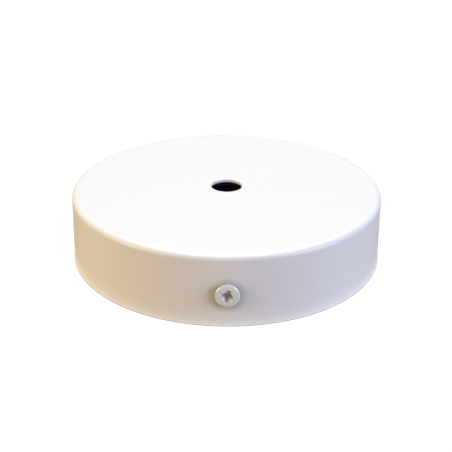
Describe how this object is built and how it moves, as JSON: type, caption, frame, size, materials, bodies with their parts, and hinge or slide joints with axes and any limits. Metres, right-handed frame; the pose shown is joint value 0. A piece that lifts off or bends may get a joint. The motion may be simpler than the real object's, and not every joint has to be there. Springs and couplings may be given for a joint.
{
  "type": "ceiling canopy",
  "caption": "Round flat-faced sheet-metal ceiling canopy with a central cord hole, fixed by side screws to a slotted mounting strap with an earth terminal.",
  "frame": {"origin": "centre of the rim's plane, where the canopy meets the ceiling", "axes": "+Z along the cord hole, from the rim to the closed face; the side screws lie on the Y axis, and -Y is the front in the picture"},
  "size_m": [0.1, 0.1034, 0.0215],
  "materials": {
    "white_coat": "satin white powder coat on drawn steel",
    "white_lacquer": "white lacquered heads on zinc-plated steel screws",
    "zinc_plate": "bright zinc plating",
    "terminal_brass": "plain brass"
  },
  "bodies": {
    "root": {"canopy_cup": "white_coat", "mounting_strap": "zinc_plate", "side_screws": "white_lacquer", "earth_clamp": "terminal_brass", "earth_spring_washer": "zinc_plate", "earth_screw": "terminal_brass"}
  },
  "joints": []
}
